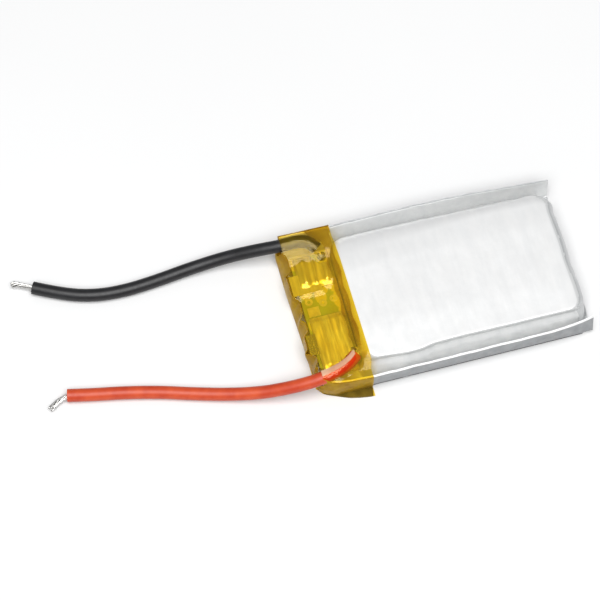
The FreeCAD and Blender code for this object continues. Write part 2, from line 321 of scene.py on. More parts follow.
def board_material():
    """Green solder mask with the raised copper of its tracks showing through."""
    shader = Shader("solder_mask", Roughness=0.28, IOR=1.55)
    tracks = shader.cells(700, "F1", (1.0, 0.6, 1.0))
    shader.color(tracks, (0.40, (0.62, 0.57, 0.20)), (0.46, (0.36, 0.43, 0.14)))
    shader.bumps((shader.span(tracks, 1.0, 0.0, 0.40, 0.46), 0.02), (shader.noise(4000, 2), 0.003))
    return shader.material


def plain_material(name, dark, light, roughness, scale=900, depth=0.006, **values):
    """A matte or moulded material with a cloudy colour and a fine grain."""
    shader = Shader(name, **values)
    cloud = shader.noise(scale, 4, 0.6)
    shader.color(cloud, (0.30, dark), (0.70, light))
    shader.roughness(cloud, roughness * 0.9, roughness * 1.1)
    shader.bumps((shader.noise(scale * 4, 2), depth))
    return shader.material


LAMINATE = laminate_material("laminate", (0.89, 0.895, 0.895), (0.93, 0.93, 0.925))
# Painted shade: darker copies of the same laminate, for walls, seal faces and ends that turn away from the
# lamp.
LAMINATE_LIGHT_SHADE = laminate_material("laminate_light_painted_shade", (0.74, 0.75, 0.75), (0.80, 0.805, 0.80))
LAMINATE_MID_SHADE = laminate_material("laminate_mid_painted_shade", (0.53, 0.545, 0.55), (0.60, 0.61, 0.61))
LAMINATE_DEEP_SHADE = laminate_material("laminate_deep_painted_shade", (0.24, 0.25, 0.26), (0.32, 0.33, 0.34))
# Painted contact shadow: a near-black band along the foot of the seals' outer faces.
PAINTED_CONTACT_SHADOW = plain_material("painted_contact_shadow", (0.02, 0.02, 0.022), (0.06, 0.06, 0.065), 0.9,
                           Specular_IOR_Level=0.1)
# Painted shade on the far seal's top edge.
LAMINATE_EDGE_SHADE = laminate_material("laminate_edge_painted_shade", (0.36, 0.37, 0.38), (0.46, 0.47, 0.47))
CUP_SHADES = (LAMINATE_LIGHT_SHADE, LAMINATE_MID_SHADE)
SEAL_SHADES = (LAMINATE_LIGHT_SHADE, LAMINATE_DEEP_SHADE, PAINTED_CONTACT_SHADOW, LAMINATE_EDGE_SHADE)
FILM_TINT = ((0.975, 0.865, 0.36), (0.99, 0.91, 0.44))
# The next two tints are deeper, for the films that carry painted shade.
SHADE_TINT = ((0.92, 0.70, 0.18), (0.95, 0.76, 0.24))
DARKENED_TINT = ((0.86, 0.70, 0.20), (0.95, 0.83, 0.32))
CLINGING_TINT = ((0.98, 0.70, 0.42), (0.99, 0.76, 0.48))
FILM_GLOSS = (0.022, 1.0)
TAPE = tape_material("polyimide_film", FILM_TINT, ((0.70, 0.44, 0.012), (0.84, 0.60, 0.016)), 0.035,
                     FILM_GLOSS)
# Painted highlight: a peach haze in the film along the red lead's far side, in place of a glare.
PAINTED_GLARE_TAPE = tape_material("polyimide_painted_glare", FILM_TINT, ((0.86, 0.60, 0.48), (0.96, 0.74, 0.62)), 0.34,
                           FILM_GLOSS, 0.20)
# Painted shade: a darker, hazier copy of the film with little gloss, for its upright faces down the seals
# and at the folded end.
UPRIGHT_SHADE_TAPE = tape_material("upright_polyimide_painted_shade", SHADE_TINT, ((0.40, 0.24, 0.010), (0.54, 0.35, 0.014)),
                            0.60, (0.004, 0.5), 0.3)
# Painted shade: a darker film in the valley between the board and the cup's end wall, used on the far
# seal's top too.
DARKENED_TAPE = tape_material("darkened_polyimide", DARKENED_TINT,
                             ((0.34, 0.21, 0.010), (0.52, 0.35, 0.014)), 0.20, FILM_GLOSS)
CLINGING_TAPE = tape_material("clinging_polyimide", CLINGING_TINT,
                              ((0.60, 0.16, 0.020), (0.70, 0.20, 0.024)), 0.01, FILM_GLOSS)
# Painted shade: a dark, nearly opaque film for the pinched fins beyond the seals' feet.
FIN_SHADE_TAPE = tape_material("fin_polyimide_painted_shade", SHADE_TINT, ((0.12, 0.08, 0.010), (0.20, 0.135, 0.016)),
                             0.85, (0.009, 0.7), 0.3)
ROOF_FILMS = (TAPE, PAINTED_GLARE_TAPE, UPRIGHT_SHADE_TAPE, DARKENED_TAPE, CLINGING_TAPE)
BLACK_PVC = insulation_material("black_pvc", (0.006, 0.006, 0.007), (0.014, 0.014, 0.016))
RED_PVC = insulation_material("red_pvc", (0.485, 0.043, 0.010), (0.605, 0.082, 0.022))
STRANDS = metal_material("tinned_strand", (0.72, 0.71, 0.69), 0.30)
NICKEL = metal_material("nickel", (0.92, 0.89, 0.82), 0.36, (3.0, 0.3, 1.0), metallic=0.72)
# Painted light: a brighter copy of the nickel for the near strip.
NICKEL_PAINTED_LIGHT = metal_material("nickel_painted_light", (1.0, 0.98, 0.94), 0.42, (3.0, 0.3, 1.0), metallic=0.58,
                               contrast=0.70)
ALUMINIUM = metal_material("aluminium_foil", (0.86, 0.87, 0.88), 0.26, (3.0, 0.3, 1.0))
TIN = metal_material("tinned_pad", (0.92, 0.90, 0.86), 0.35, metallic=0.6)
SOLDER = metal_material("solder", (0.74, 0.74, 0.74), 0.20, scale=2500, depth=0.01)


# ---- camera and light ----
CAMERA_DISTANCE = 356.0
FLOOR_HALF = 1500.0


def add_camera():
    """Looks down on the pack from its near side, from a little towards the terminals."""
    azimuth, elevation, roll = -11.92, 63.06, -2.98
    data = bpy.data.cameras.new("camera")
    data.lens = 200.0
    data.sensor_width = 36.0
    view = Matrix.Translation(Vector((-13.97, 3.27, 0.0)) * MM)
    for angle, axis in ((azimuth, "Z"), (90 - elevation, "X"), (roll, "Z")):
        view = view @ Matrix.Rotation(math.radians(angle), 4, axis)
    camera = add_object("camera", data)
    camera.matrix_world = view @ Matrix.Translation((0, 0, CAMERA_DISTANCE * MM))
    bpy.context.scene.camera = camera


def add_light():
    """Pale surroundings and one broad soft lamp overhead, which faces the pack."""
    world = bpy.data.worlds.new("studio")
    world.use_nodes = True
    background = world.node_tree.nodes["Background"]
    background.inputs["Color"].default_value = (0.98, 0.99, 1.0, 1.0)
    background.inputs["Strength"].default_value = 0.29
    bpy.context.scene.world = world
    data = bpy.data.lights.new("overhead", "AREA")
    data.size = 430 * MM
    data.energy = 3.35
    lamp = add_object("overhead", data)
    lamp.location = Vector((-40, -165, 474)) * MM
    lamp.rotation_mode = "QUATERNION"
    lamp.rotation_quaternion = (-lamp.location).to_track_quat("-Z", "Y")
    bpy.context.scene.view_settings.view_transform = "Standard"


def add_floor():
    material = plain_material("floor_paint", (0.78, 0.78, 0.78), (0.80, 0.80, 0.80), 0.7, scale=12,
                              depth=0.002)
    corners = [(x * FLOOR_HALF, y * FLOOR_HALF, 0) for x, y in ((-1, -1), (1, -1), (1, 1), (-1, 1))]
    mesh_piece("floor", corners, [(0, 1, 2, 3)], material, False)


add_camera()
add_light()
add_floor()


# ---- leads ----
# Routes of the leads' centre lines in millimetres, as in the CAD model.
BLACK_ROUTE = [
    (-11.05, 7.25, 3.02), (-11.40, 7.80, 3.20), (-12.05, 8.30, 3.30), (-13.10, 8.48, 3.34),
    (-14.60, 8.42, 3.28), (-17.20, 8.90, 2.72), (-20.60, 9.54, 1.60), (-24.50, 9.60, 0.86),
    (-28.30, 9.18, 0.71), (-31.60, 8.92, 0.71), (-34.80, 9.12, 0.71), (-38.10, 10.12, 0.71),
    (-41.25, 11.85, 0.71),
]
RED_ROUTE = [
    (-10.35, -6.15, 3.26), (-10.85, -6.62, 3.31), (-11.50, -7.06, 3.34), (-12.45, -7.44, 3.33),
    (-13.70, -7.74, 3.28), (-15.40, -7.86, 3.02), (-17.80, -7.56, 2.30), (-20.70, -6.95, 1.42),
    (-24.10, -5.95, 0.84), (-27.60, -4.85, 0.71), (-31.20, -3.66, 0.71), (-34.80, -2.76, 0.71),
    (-38.00, -2.14, 0.71), (-40.50, -1.55, 0.71),
]
LEAD_RADIUS = 0.70
STRAND_RADIUS = 0.095
STRAND_SPREAD = 0.5
STRAND_START = 0.5  # inside the insulation


def lead_curve(name, route):
    """A lead's centre line as a NURBS curve."""
    data = bpy.data.curves.new(name, "CURVE")
    data.dimensions = "3D"
    data.resolution_u = 10
    spline = data.splines.new("NURBS")
    spline.points.add(len(route) - 1)
    for point, spot in zip(spline.points, route):
        point.co = (*(Vector(spot) * MM), 1.0)
    spline.order_u = 3
    spline.use_endpoint_u = True
    return add_object(name, data)


def curve_points(piece):
    """Points along a curve that has no bevel yet, in millimetres."""
    bpy.context.view_layer.update()
    line = bpy.data.meshes.new_from_object(piece)
    points = np.array([v.co for v in line.vertices]) / MM
    bpy.data.meshes.remove(line)
    return points


def directions(path):
    """The way that a path of points runs, as a unit vector at each of them."""
    tangents = np.gradient(path, axis=0)
    return tangents / np.linalg.norm(tangents, axis=1)[:, None]


def tube_grid(path, radius, sides):
    """Rings round a path, as a (points, sides, 3) grid."""
    tangents = directions(path)
    side = np.cross(tangents, (0.0, 0.0, 1.0))
    side /= np.linalg.norm(side, axis=1)[:, None]
    up = np.cross(side, tangents)
    angles = np.linspace(0, 2 * math.pi, sides, endpoint=False)
    ring = np.cos(angles)[:, None] * side[:, None] + np.sin(angles)[:, None] * up[:, None]
    return path[:, None] + ring * radius


def closed_tube(path, radius, sides=10):
    """A tube's grid with both ends drawn shut."""
    grid = tube_grid(path, radius, sides)
    first = np.repeat(grid[:1].mean(1, keepdims=True), sides, axis=1)
    last = np.repeat(grid[-1:].mean(1, keepdims=True), sides, axis=1)
    return np.concatenate([first, grid, last])


def strand_bundle(name, centre, twist):
    """Seven twisted strands round a centre line, fanning out a little at the cut end."""
    t = np.linspace(0, 1, len(centre))
    tangents = directions(centre)
    side = np.cross(tangents, (0.0, 0.0, 1.0))
    up = np.cross(side, tangents)
    grids = [(closed_tube(centre, STRAND_RADIUS), True)]
    for index in range(6):
        angle = index * math.pi / 3 + twist * t
        reach = STRAND_RADIUS * 2.0 * (1 + STRAND_SPREAD * t ** 3 * (0.4 + 0.25 * index))
        sideways = side * (np.cos(angle) * reach)[:, None]
        upward = up * (np.sin(angle) * reach * 0.8)[:, None]
        path = centre + sideways + upward
        keep = len(t) - index % 3
        grids.append((closed_tube(path[:keep], STRAND_RADIUS), True))
    return mesh_piece(name, *join_grids(grids), STRANDS)


def bend_path(start, knee, tip, count=26):
    """A quadratic curve from start past knee to tip."""
    t = np.linspace(0, 1, count)[:, None]
    start, knee, tip = (np.array(p, float) for p in (start, knee, tip))
    return (1 - t) ** 2 * start + 2 * t * (1 - t) * knee + t ** 2 * tip


def tape_exit(line):
    """Number of the point where a lead's centre line leaves the tape."""
    return int(np.argmin(abs(line[:, 0] - TAPE_LEFT)))


def make_lead(colour, route, material, knee, tip, twist):
    """A lead and its stripped end, which bends at the knee; returns the lead's centre line."""
    lead = lead_curve(colour + "_lead", route)
    line = curve_points(lead)
    lead.data.bevel_depth = LEAD_RADIUS * MM
    lead.data.bevel_resolution = 10
    lead.data.use_fill_caps = True
    lead.data.materials.append(material)
    end = line[-1]
    inside = end + (line[-2] - end) / np.linalg.norm(line[-2] - end) * STRAND_START
    strands = strand_bundle(colour + "_lead_strands", bend_path(inside, knee, tip), twist)
    place(lead, colour + "_insulation", colour + "_lead_insulation")
    place(strands, "tinned_strands", colour + "_lead_conductor")
    return line


BLACK_LINE = make_lead("black", BLACK_ROUTE, BLACK_PVC,
                       knee=(-42.3, 12.5, 0.62), tip=(-43.42, 13.03, 0.50), twist=5.0)
RED_LINE = make_lead("red", RED_ROUTE, RED_PVC,
                     knee=(-41.2, -1.5, 0.70), tip=(-42.6, -2.6, 0.45), twist=4.0)


# ---- pouch ----
# Top of the cup's wall on each side, the fold between the back and a seal, and the ring's left edge.
CUP_LEFT = -9.80
CUP_RIGHT = 14.72
CUP_NEAR = -7.45
CUP_FAR = 7.75
INNER_FOLD = 8.32
RING_LEFT = -9.88
SIDE_COLUMNS = 120
END_COLUMNS = 64
CORNER_COLUMNS = 16


def rounded_outline(left, right, near, far, radii):
    """Points round a rectangle with rounded corners: near side, right end, far side, left end."""
    near_left, near_right, far_right, far_left = radii
    corners = np.array([(left + near_left, near + near_left), (right - near_right, near + near_right),
                        (right - far_right, far - far_right), (left + far_left, far - far_left)])
    outward = np.array([(0, -1), (1, 0), (0, 1), (-1, 0)])
    points = []
    for side, count in enumerate((SIDE_COLUMNS, END_COLUMNS) * 2):
        ahead = (side + 1) % 4
        start = corners[side] + radii[side] * outward[side]
        end = corners[ahead] + radii[ahead] * outward[side]
        t = np.linspace(0, 1, count)[:, None]
        points.append(start * (1 - t) + end * t)
        angles = math.radians(90) * (side - 1 + np.linspace(0, 1, CORNER_COLUMNS + 2)[1:-1])
        points.append(corners[ahead] + radii[ahead] * np.stack([np.cos(angles), np.sin(angles)], 1))
    return np.concatenate(points)


def near_edge_shift(x):
    """The crease in the near shoulder: a bulge by the terminals that steps back in."""
    return -0.30 * smooth(-8.2, -4.6, x) * (1 - smooth(-3.9, -1.6, x)) + 0.06 * bump(1.5, 2.5, x)


def cup_outline(radii, near=0.0, far=0.0, left=0.0, right=0.0):
    """The cup's outline, set in from each of its sides by the lengths given."""
    points = rounded_outline(CUP_LEFT + left, CUP_RIGHT - right, CUP_NEAR + near, CUP_FAR - far, radii)
    x, y = points.T.copy()
    near_part = smooth(5.0, 7.2, -y)
    far_part = smooth(4.0, 7.2, y)
    right_part = smooth(12.8, 14.6, x)
    points[:, 1] += near_part * near_edge_shift(x)
    points[:, 1] += far_part * (0.28 - 0.52 * smooth(-9.0, 15.0, x))
    dents = 0.05 * np.sin(y * 1.1 + 0.6) - 0.10 * bump(4.6, 0.7, y) - 0.06 * bump(-1.2, 0.8, y)
    points[:, 0] += right_part * dents
    return points


def inward_normals(points):
    """At each point of an outline, the way in from it."""
    ahead = np.roll(points, -1, 0) - np.roll(points, 1, 0)
    ahead /= np.linalg.norm(ahead, axis=1)[:, None]
    return np.stack([-ahead[:, 1], ahead[:, 0]], 1)


def by_side(inward, near, far, left, right):
    """A value for each outline point, blended round the corners by the way that it faces."""
    nx, ny = inward[:, 0], inward[:, 1]
    return (near * np.maximum(ny, 0) ** 2 + far * np.maximum(-ny, 0) ** 2
            + left * np.maximum(nx, 0) ** 2 + right * np.maximum(-nx, 0) ** 2)


def cup_top_height(spot):
    """The pillowed top: it sinks softly along its far side, most of all at the terminals."""
    x, y = spot[..., 0], spot[..., 1]
    along = (x - 2.9) / 11.8
    far_sink = 0.22 * smooth(3.2, 7.6, y) * (1 - 0.4 * smooth(-7.0, 7.0, x))
    return CUP_TOP - 0.04 - 0.08 * smooth(3.0, 8.0, -y) - 0.16 * along ** 6 - far_sink


def spine_stations():
    """Where each column of the cup ends on the ridge line in the middle of its top."""
    low, high = CUP_LEFT + 7.6, CUP_RIGHT - 7.6
    along = np.linspace(low, high, SIDE_COLUMNS)
    end = np.ones(END_COLUMNS + 2 * CORNER_COLUMNS)
    return np.concatenate([along, high * end, along[::-1], low * end])


def tuck(t):
    """How much of the undercut the wall has at t of its height: most just below the shoulder."""
    return bump(0.93, 0.13, t)


def wall_rows(outline, inward, shoulder, undercut):
    """The drawn wall from its flared foot to the shoulder."""
    near_left = 2 * np.maximum(inward[:, 0], 0) * np.maximum(inward[:, 1], 0)
    flare = by_side(inward, 0.80, 0.16, 0.04, 0.12) + 0.5 * near_left
    t = np.linspace(0, 1, 18)[:, None]
    out = flare * (1 - t) ** 1.3 - undercut * tuck(t)
    z = RING_HEIGHT + (cup_top_height(outline) - shoulder - RING_HEIGHT) * t
    return np.dstack([outline - inward * out[..., None], z])


def shoulder_rows(outline, inward, shoulder, undercut):
    """The rounded shoulder from the wall to the edge of the top, broadest at the far left."""
    edge = cup_outline((1.3, 0.9, 0.8, 0.6), near=0.40, far=1.65, left=1.00, right=1.05)
    edge[:, 1] -= 0.85 * (smooth(4.0, 6.0, edge[:, 1]) * (1 - smooth(-8.0, 8.0, edge[:, 0])))
    t = np.linspace(0, 1, 14)[1:, None]
    inset = 1 - np.cos(t * math.pi / 2)
    drop = 1 - np.sin(t * math.pi / 2)
    under = undercut * tuck(1.0) * (1 - t)
    spot = outline + (edge - outline) * inset[..., None] + inward * under[..., None]
    return np.dstack([spot, cup_top_height(spot) - shoulder * drop])


def top_rows(edge):
    """The pillowed top from its edge to the ridge line in its middle."""
    spine = np.column_stack([spine_stations(), np.full(len(edge), 0.15)])
    t = np.linspace(0, 1, 44)[1:, None, None]
    spot = edge * (1 - t) + spine * t
    return np.dstack([spot, cup_top_height(spot)])


def cup_grid():
    """The whole cup, as rows round it from its foot to the middle of its top."""
    outline = cup_outline((1.9, 1.9, 2.1, 1.7))
    inward = inward_normals(outline)
    shoulder = by_side(inward, 0.46, 1.20, 1.45, 1.15)
    undercut = by_side(inward, 0.36, 0.0, 0.0, 0.08)
    wall = wall_rows(outline, inward, shoulder, undercut)
    rounding = shoulder_rows(outline, inward, shoulder, undercut)
    return wrinkled(np.concatenate([wall, rounding, top_rows(rounding[-1, :, :2])]))


def wrinkled(grid):
    """Soft drawn folds of the foil: shallow on top, a little deeper at the shoulders and walls."""
    flat = grid.reshape(-1, 3)
    x, y, z = flat.T
    soft = noise_field(flat, (1.5, 5.5, 4.0), 1)
    broad = noise_field(flat, (4.5, 4.0, 6.0), 2)
    fine = noise_field(flat, (0.8, 0.8, 0.7), 3)
    on_top = smooth(3.6, 3.9, z)
    flat[:, 2] += on_top * (0.028 * soft + 0.035 * broad)
    side = 1 - smooth(3.0, 3.9, z)
    flat[:, 1] += side * 0.06 * fine * np.sign(y)
    flat[:, 0] += side * 0.05 * fine
    flat[:, 2] += 0.02 * fine * smooth(3.0, 3.6, z) * (1 - on_top)
    return flat.reshape(grid.shape)


def terrace_ring(base_row):
    """The flat laminate between the cup's foot and the folds of the side seals."""
    outer = rounded_outline(RING_LEFT, PACK_END - 0.06, -INNER_FOLD, INNER_FOLD, (0.05,) * 4)
    t = np.linspace(0, 1, 8)[:, None, None]
    flat = outer * (1 - t) + base_row[:, :2] * t
    return np.pad(flat, ((0, 0), (0, 0), (0, 1)), constant_values=RING_HEIGHT)


def tab_humps(x, y):
    """Height that the terrace gains where it covers the cell's tabs and their sealant."""
    height = np.zeros_like(y)
    for node in ("positive_tab_sealant", "negative_tab_sealant"):
        low, high = box_mm(node)
        inside = smooth(low[1] - 0.25, low[1], y) * (1 - smooth(high[1], high[1] + 0.25, y))
        height = np.maximum(height, 0.28 * inside)
    return height


def near_curl(x):
    """How far the near side is crushed inwards at the terminal end."""
    return np.interp(x, (-15.0, -14.6, -14.1, -13.6, -13.2, -12.8), (1.5, 0.78, 0.44, 0.20, 0.05, 0.0))


def side_curl(side, x):
    """The near side's crush; the far side has none."""
    return near_curl(x) if side < 0 else np.zeros_like(x)


def across(x, count):
    """Points between the pack's two folds at each x, kept inside the crushed near side."""
    t = np.linspace(0, 1, count)[None, :]
    start = -INNER_FOLD + near_curl(x)[:, None]
    return np.repeat(x[:, None], count, axis=1), start + (INNER_FOLD - start) * t


def terrace_grid():
    """The laminate that runs on under the board, over the cell's tabs."""
    x, y = across(np.linspace(TERRACE_LEFT, RING_LEFT, 40), 120)
    z = 0.28 + tab_humps(x, y) - 0.06 * smooth(RING_LEFT - 0.4, RING_LEFT, x)
    return np.stack([x, y, z], -1)


def cup_shade(face):
    """0 for the top; painted shade: 1 on the near wall and where the end wall starts to turn, 2 deeper on
    the end wall.
    """
    x, y, _ = face.center / MM
    at_end = x > 12.0
    if x > 14.4 or at_end and face.normal.x > 0.50:
        return 2
    if at_end and face.normal.x > 0.25:
        return 1
    return int(y < -6.5 and face.normal.y < -0.30)


def back_shade(face):
    """1 for painted shade on the laminate round the fold at the bottom end."""
    return int(face.center.x > 14.5 * MM)


def make_pouch_front():
    """The front half of the laminate: the cup, the ring round its foot and the terrace."""
    cup = cup_grid()
    ring = terrace_ring(cup[0])
    whole = np.concatenate([ring[:-1], cup])
    grids = [(whole, True), (terrace_grid()[::-1], False)]
    piece = mesh_piece("pouch_front", *join_grids(grids), LAMINATE)
    finish_faces(piece, CUP_SHADES, cup_shade)
    thicken(piece, LAMINATE_SKIN)
    place(piece, "pouch_laminate", "pouch_front_film")


def back_profile():
    """The back laminate along the pack, from the terrace to the fold at the bottom end."""
    x = list(np.linspace(TERRACE_LEFT, -9.25, 24)) + list(np.linspace(-9.05, PACK_END - 0.34, 90))
    z = [0.06] * 24 + [0.0] * 90
    for angle in np.linspace(0, math.pi / 2, 8)[1:]:
        x.append(PACK_END - 0.32 + 0.30 * math.sin(angle))
        z.append(0.30 - 0.30 * math.cos(angle))
    x.append(PACK_END - 0.015)
    z.append(0.62)
    return np.array(x), np.array(z)


def make_pouch_back():
    """The back half of the laminate, flat between the seals, with a slightly uneven bottom end."""
    profile_x, z = back_profile()
    x, y = across(profile_x, 110)
    cup_span = smooth(-7.4, -6.2, y) * (1 - smooth(5.8, 7.0, y))
    lift = np.where(z > 0.07, z, 0.0)[:, None] * (cup_span - 1)
    grid = np.stack([x, y, z[:, None] + lift], -1)
    flat = grid.reshape(-1, 3)
    ends = smooth(13.5, 15.0, flat[:, 0])
    flat[:, 0] -= ends * 0.10 * (0.5 + noise_field(flat, (1e3, 1.6, 1e3), 7))
    piece = mesh_piece("pouch_back", *join_grids([(flat.reshape(grid.shape), False)]), LAMINATE)
    finish_faces(piece, [LAMINATE_MID_SHADE], back_shade)
    thicken(piece, LAMINATE_SKIN)
    place(piece, "pouch_laminate", "pouch_back_film")


# ---- side seals ----
# Where the top of each side seal lies out from its fold line, by place along the pack.
FAR_LEAN = [(-14.6, 0.90), (-12.0, 0.84), (-9.2, 0.80), (-6.0, 0.86), (0.0, 0.90), (4.0, 0.80), (7.3, 0.62),
            (11.0, 0.36), (13.0, 0.20), (15.0, 0.03)]
NEAR_LEAN = [(-14.6, -0.55), (-14.1, -0.25), (-13.6, 0.02), (-12.7, 0.26), (-11.6, 0.40), (-10.5, 0.47),
             (-9.2, 0.54), (-2.7, 0.52), (9.0, 0.47), (10.8, 0.44), (12.2, 0.32), (13.6, 0.10),
             (15.0, -0.18)]
SEAL_THICK = 0.20
# The seal's top edge, with the groove between its two plies: (in from the outer face, down).
SEAL_LIP = [(0.01, 0.03), (0.05, 0.0), (0.08, 0.01), (0.10, 0.05), (0.12, 0.01), (0.15, 0.0), (0.19, 0.03)]
OUTER_FOLD_DEPTH, OUTER_FOLD_TOP = 0.28, 0.42
INNER_FOLD_DEPTH, INNER_FOLD_TOP = 0.13, 0.34


def near_top(x):
    """Height of the near side seal: its terminal end is pressed down under the red lead."""
    return np.interp(x, (-15.0, -14.6, -14.1, -13.7, -13.4), (0.7, 1.3, 2.5, 3.25, SEAL_TOP))


def lean_at(stations, x):
    """Smooth curve through the stations."""
    xs, ys = zip(*stations)
    fine = np.linspace(xs[0], xs[-1], 400)
    values = np.interp(fine, xs, ys)
    kernel = np.hanning(13)
    padded = np.pad(values, 6, mode="edge")
    return np.interp(x, fine, np.convolve(padded, kernel / kernel.sum(), mode="valid"))


def seal_section(curl, lean, top, foot):
    """Closed (out, up) section of a folded seal: out is measured from the middle of the pack."""
    fold = FOLD_Y - curl
    lean = lean + curl
    inner = fold - SEAL_THICK
    points = [(inner - INNER_FOLD_DEPTH, 0.0)]
    for angle in np.linspace(0.15, 1, 5) * math.pi / 2:
        points.append((fold - OUTER_FOLD_DEPTH + OUTER_FOLD_DEPTH * math.sin(angle),
                       OUTER_FOLD_TOP - OUTER_FOLD_TOP * math.cos(angle)))
    for up in OUTER_FOLD_TOP + (top - OUTER_FOLD_TOP) * np.linspace(0, 1, 14)[1:-1]:
        points.append((fold + lean * up / SEAL_TOP, up))
    head = fold + lean * top / SEAL_TOP
    points += [(head - depth, top - drop) for depth, drop in SEAL_LIP]
    for up in INNER_FOLD_TOP + (top - INNER_FOLD_TOP) * np.linspace(1, 0, 14)[1:-1]:
        points.append((inner + lean * up / SEAL_TOP, up))
    points += [(inner - 0.01, 0.32), (inner - 0.06, 0.24), (inner - INNER_FOLD_DEPTH, 0.21)]
    section = np.array(points)
    section[:, 1] = np.maximum(section[:, 1], foot * smooth(fold - 0.35, fold - 0.25, section[:, 0]))
    return section


def seal_shade(face, side):
    """0 for the plain laminate, under the tape and on the near seal's lip and inner face; painted shade: 1
    on the far seal's inner face, 2 on the outer faces, 3 a painted contact shadow at their foot, 4 on the
    far seal's top edge.
    """
    x, _, z = face.center / MM
    outward = side * face.normal.y
    if x < TAPE_RIGHT or side < 0 and z > SEAL_TOP - 0.30:
        return 0
    if outward > 0.3:
        return 3 if z < 0.50 else 2
    if face.normal.z > 0.5 and z > SEAL_TOP - 0.12:
        return 4
    return 1 if side > 0 else 0


def seal_grid(side, stations, notch_from):
    """Sections along a seal; its foot is raised over the tape's film and from the notch on."""
    xs = np.concatenate([np.linspace(TERRACE_LEFT, 12.0, 200), np.linspace(12.1, PACK_END, 40)])
    tops = near_top(xs) if side < 0 else np.full(len(xs), SEAL_TOP)
    rows = []
    for x, lean, top, curl in zip(xs, lean_at(stations, xs), tops, side_curl(side, xs)):
        top = top - 0.02 + 0.015 * math.sin(2.3 * x) + 0.01 * math.sin(5.1 * x + 1.0)
        under_tape = TAPE_FILM + 0.01 if x < TAPE_RIGHT + 0.05 else 0.0
        foot = max(under_tape, 0.55 * float(smooth(notch_from, notch_from + 0.35, x)))
        section = seal_section(curl, lean, top, foot)
        rows.append(np.column_stack([np.full(len(section), x), side * section[:, 0], section[:, 1]]))
    grid = np.array(rows[::side])
    flat = grid.reshape(-1, 3)
    raised = smooth(0.3, 2.5, flat[:, 2]) * smooth(TAPE_RIGHT, TAPE_RIGHT + 1.5, flat[:, 0])
    flat[:, 1] += raised * 0.05 * noise_field(flat, (2.2, 9.0, 2.0), 5 + side)
    flat[:, 1] += raised * 0.015 * noise_field(flat, (0.5, 9.0, 0.6), 9 + side)
    return flat.reshape(grid.shape)


def make_seal(name, side, stations, notch_from=2 * PACK_END):
    """One folded-up side seal, shut at both ends; without notch_from its foot has no notch."""
    grid = seal_grid(side, stations, notch_from)
    columns = grid.shape[1]
    points, faces = join_grids([(grid, True)])
    faces.append(tuple(reversed(range(columns))))
    faces.append(tuple(range(len(points) - columns, len(points))))
    piece = mesh_piece(name, points, faces, LAMINATE)
    piece.data.set_sharp_from_angle(angle=math.radians(50))
    finish_faces(piece, SEAL_SHADES, lambda face: seal_shade(face, side))
    place(piece, "pouch_laminate")


make_pouch_front()
make_pouch_back()
make_seal("far_side_seal", 1, FAR_LEAN)
make_seal("near_side_seal", -1, NEAR_LEAN, notch_from=13.7)


# ---- nickel strips ----
STRIP_LOW = 2.82
# Ridges along a strip: (x of the middle, half width, height).
RIDGES = [(-13.02, 0.42, 0.30), (-11.92, 0.16, 0.16), (-10.80, 0.36, 0.30)]


def strip_height(x, y, from_end):
    """Rolled nickel with two soft ridges and a shallow one between them, pressed flat at its ends."""
    height = np.full_like(x, STRIP_LOW)
    for centre, width, rise in RIDGES:
        drift = 0.06 * np.sin(1.3 * y + centre)
        swell = 0.85 + 0.15 * np.sin(2.1 * y + 3 * centre)
        height = height + rise * bump(centre + drift, width, x) * swell
    pressed = smooth(0.7, 0.05, from_end)
    return height * (1 - pressed) + (STRIP_LOW - 0.10) * pressed


def make_strip(name, node, towards, overhang, metal):
    """A strip over the CAD strip's box; overhang takes its near end further, and one corner is cut."""
    low, high = box_mm(node)
    left, right, near, far = low[0] - 0.05, high[0] + 0.15, low[1] - overhang, high[1]
    x, y = np.meshgrid(np.linspace(left, right, 60), np.linspace(near, far, 70), indexing="ij")
    edge = far if towards > 0 else near
    trim = 1.25 * smooth(right - 1.9, right - 0.9, x) * smooth(2.2, 0.0, abs(y - edge))
    y = y - towards * trim
    points = np.stack([x, y, strip_height(x, y, np.minimum(y - near, far - y))], -1)
    flat = points.reshape(-1, 3)
    flat[:, 2] += 0.035 * noise_field(flat, (0.5, 1.4, 1.0), 12)
    flat[:, 2] -= 0.14 * smooth(0.25, 0.0, flat[:, 0] - left) + 0.10 * smooth(0.2, 0.0, right - flat[:, 0])
    piece = mesh_piece(name, *join_grids([(flat.reshape(points.shape)[::-1], False)]), metal)
    thicken(piece, 0.10)
    place(piece, "nickel", node)


make_strip("negative_strip", "negative_nickel_strip", 1, 0.0, NICKEL)
# The near strip takes the brighter copy of the nickel: painted light.
make_strip("positive_strip", "positive_nickel_strip", -1, 1.05, NICKEL_PAINTED_LIGHT)


# ---- tape ----
CLEARANCE = 0.03
ROOF_LEFT = TAPE_LEFT + CLEARANCE
STEEPEST_STEP = 0.043
# Across the red lead's line: where the film begins to cling, where its painted highlight begins, and where
# it comes clear of the lead.
CLINGS_FROM, PAINTED_GLARE_FROM, PAINTED_GLARE_TO = -0.72, -0.16, 0.50
# Places along the wrap's left edge where the film has opened into a small pleat: (y, half width).
PLEATS = [(-0.15, 0.42), (-4.45, 0.30), (-6.45, 0.30), (5.1, 0.25)]
UNDER_TAPE = ["pouch_front", "near_side_seal", "far_side_seal", "negative_strip", "positive_strip",
              "black_lead", "red_lead"]
UNDER_TAPE_NODES = ["protection_board", "board_pads", "negative_solder_joint", "positive_solder_joint",
                    "negative_tab", "positive_tab"]


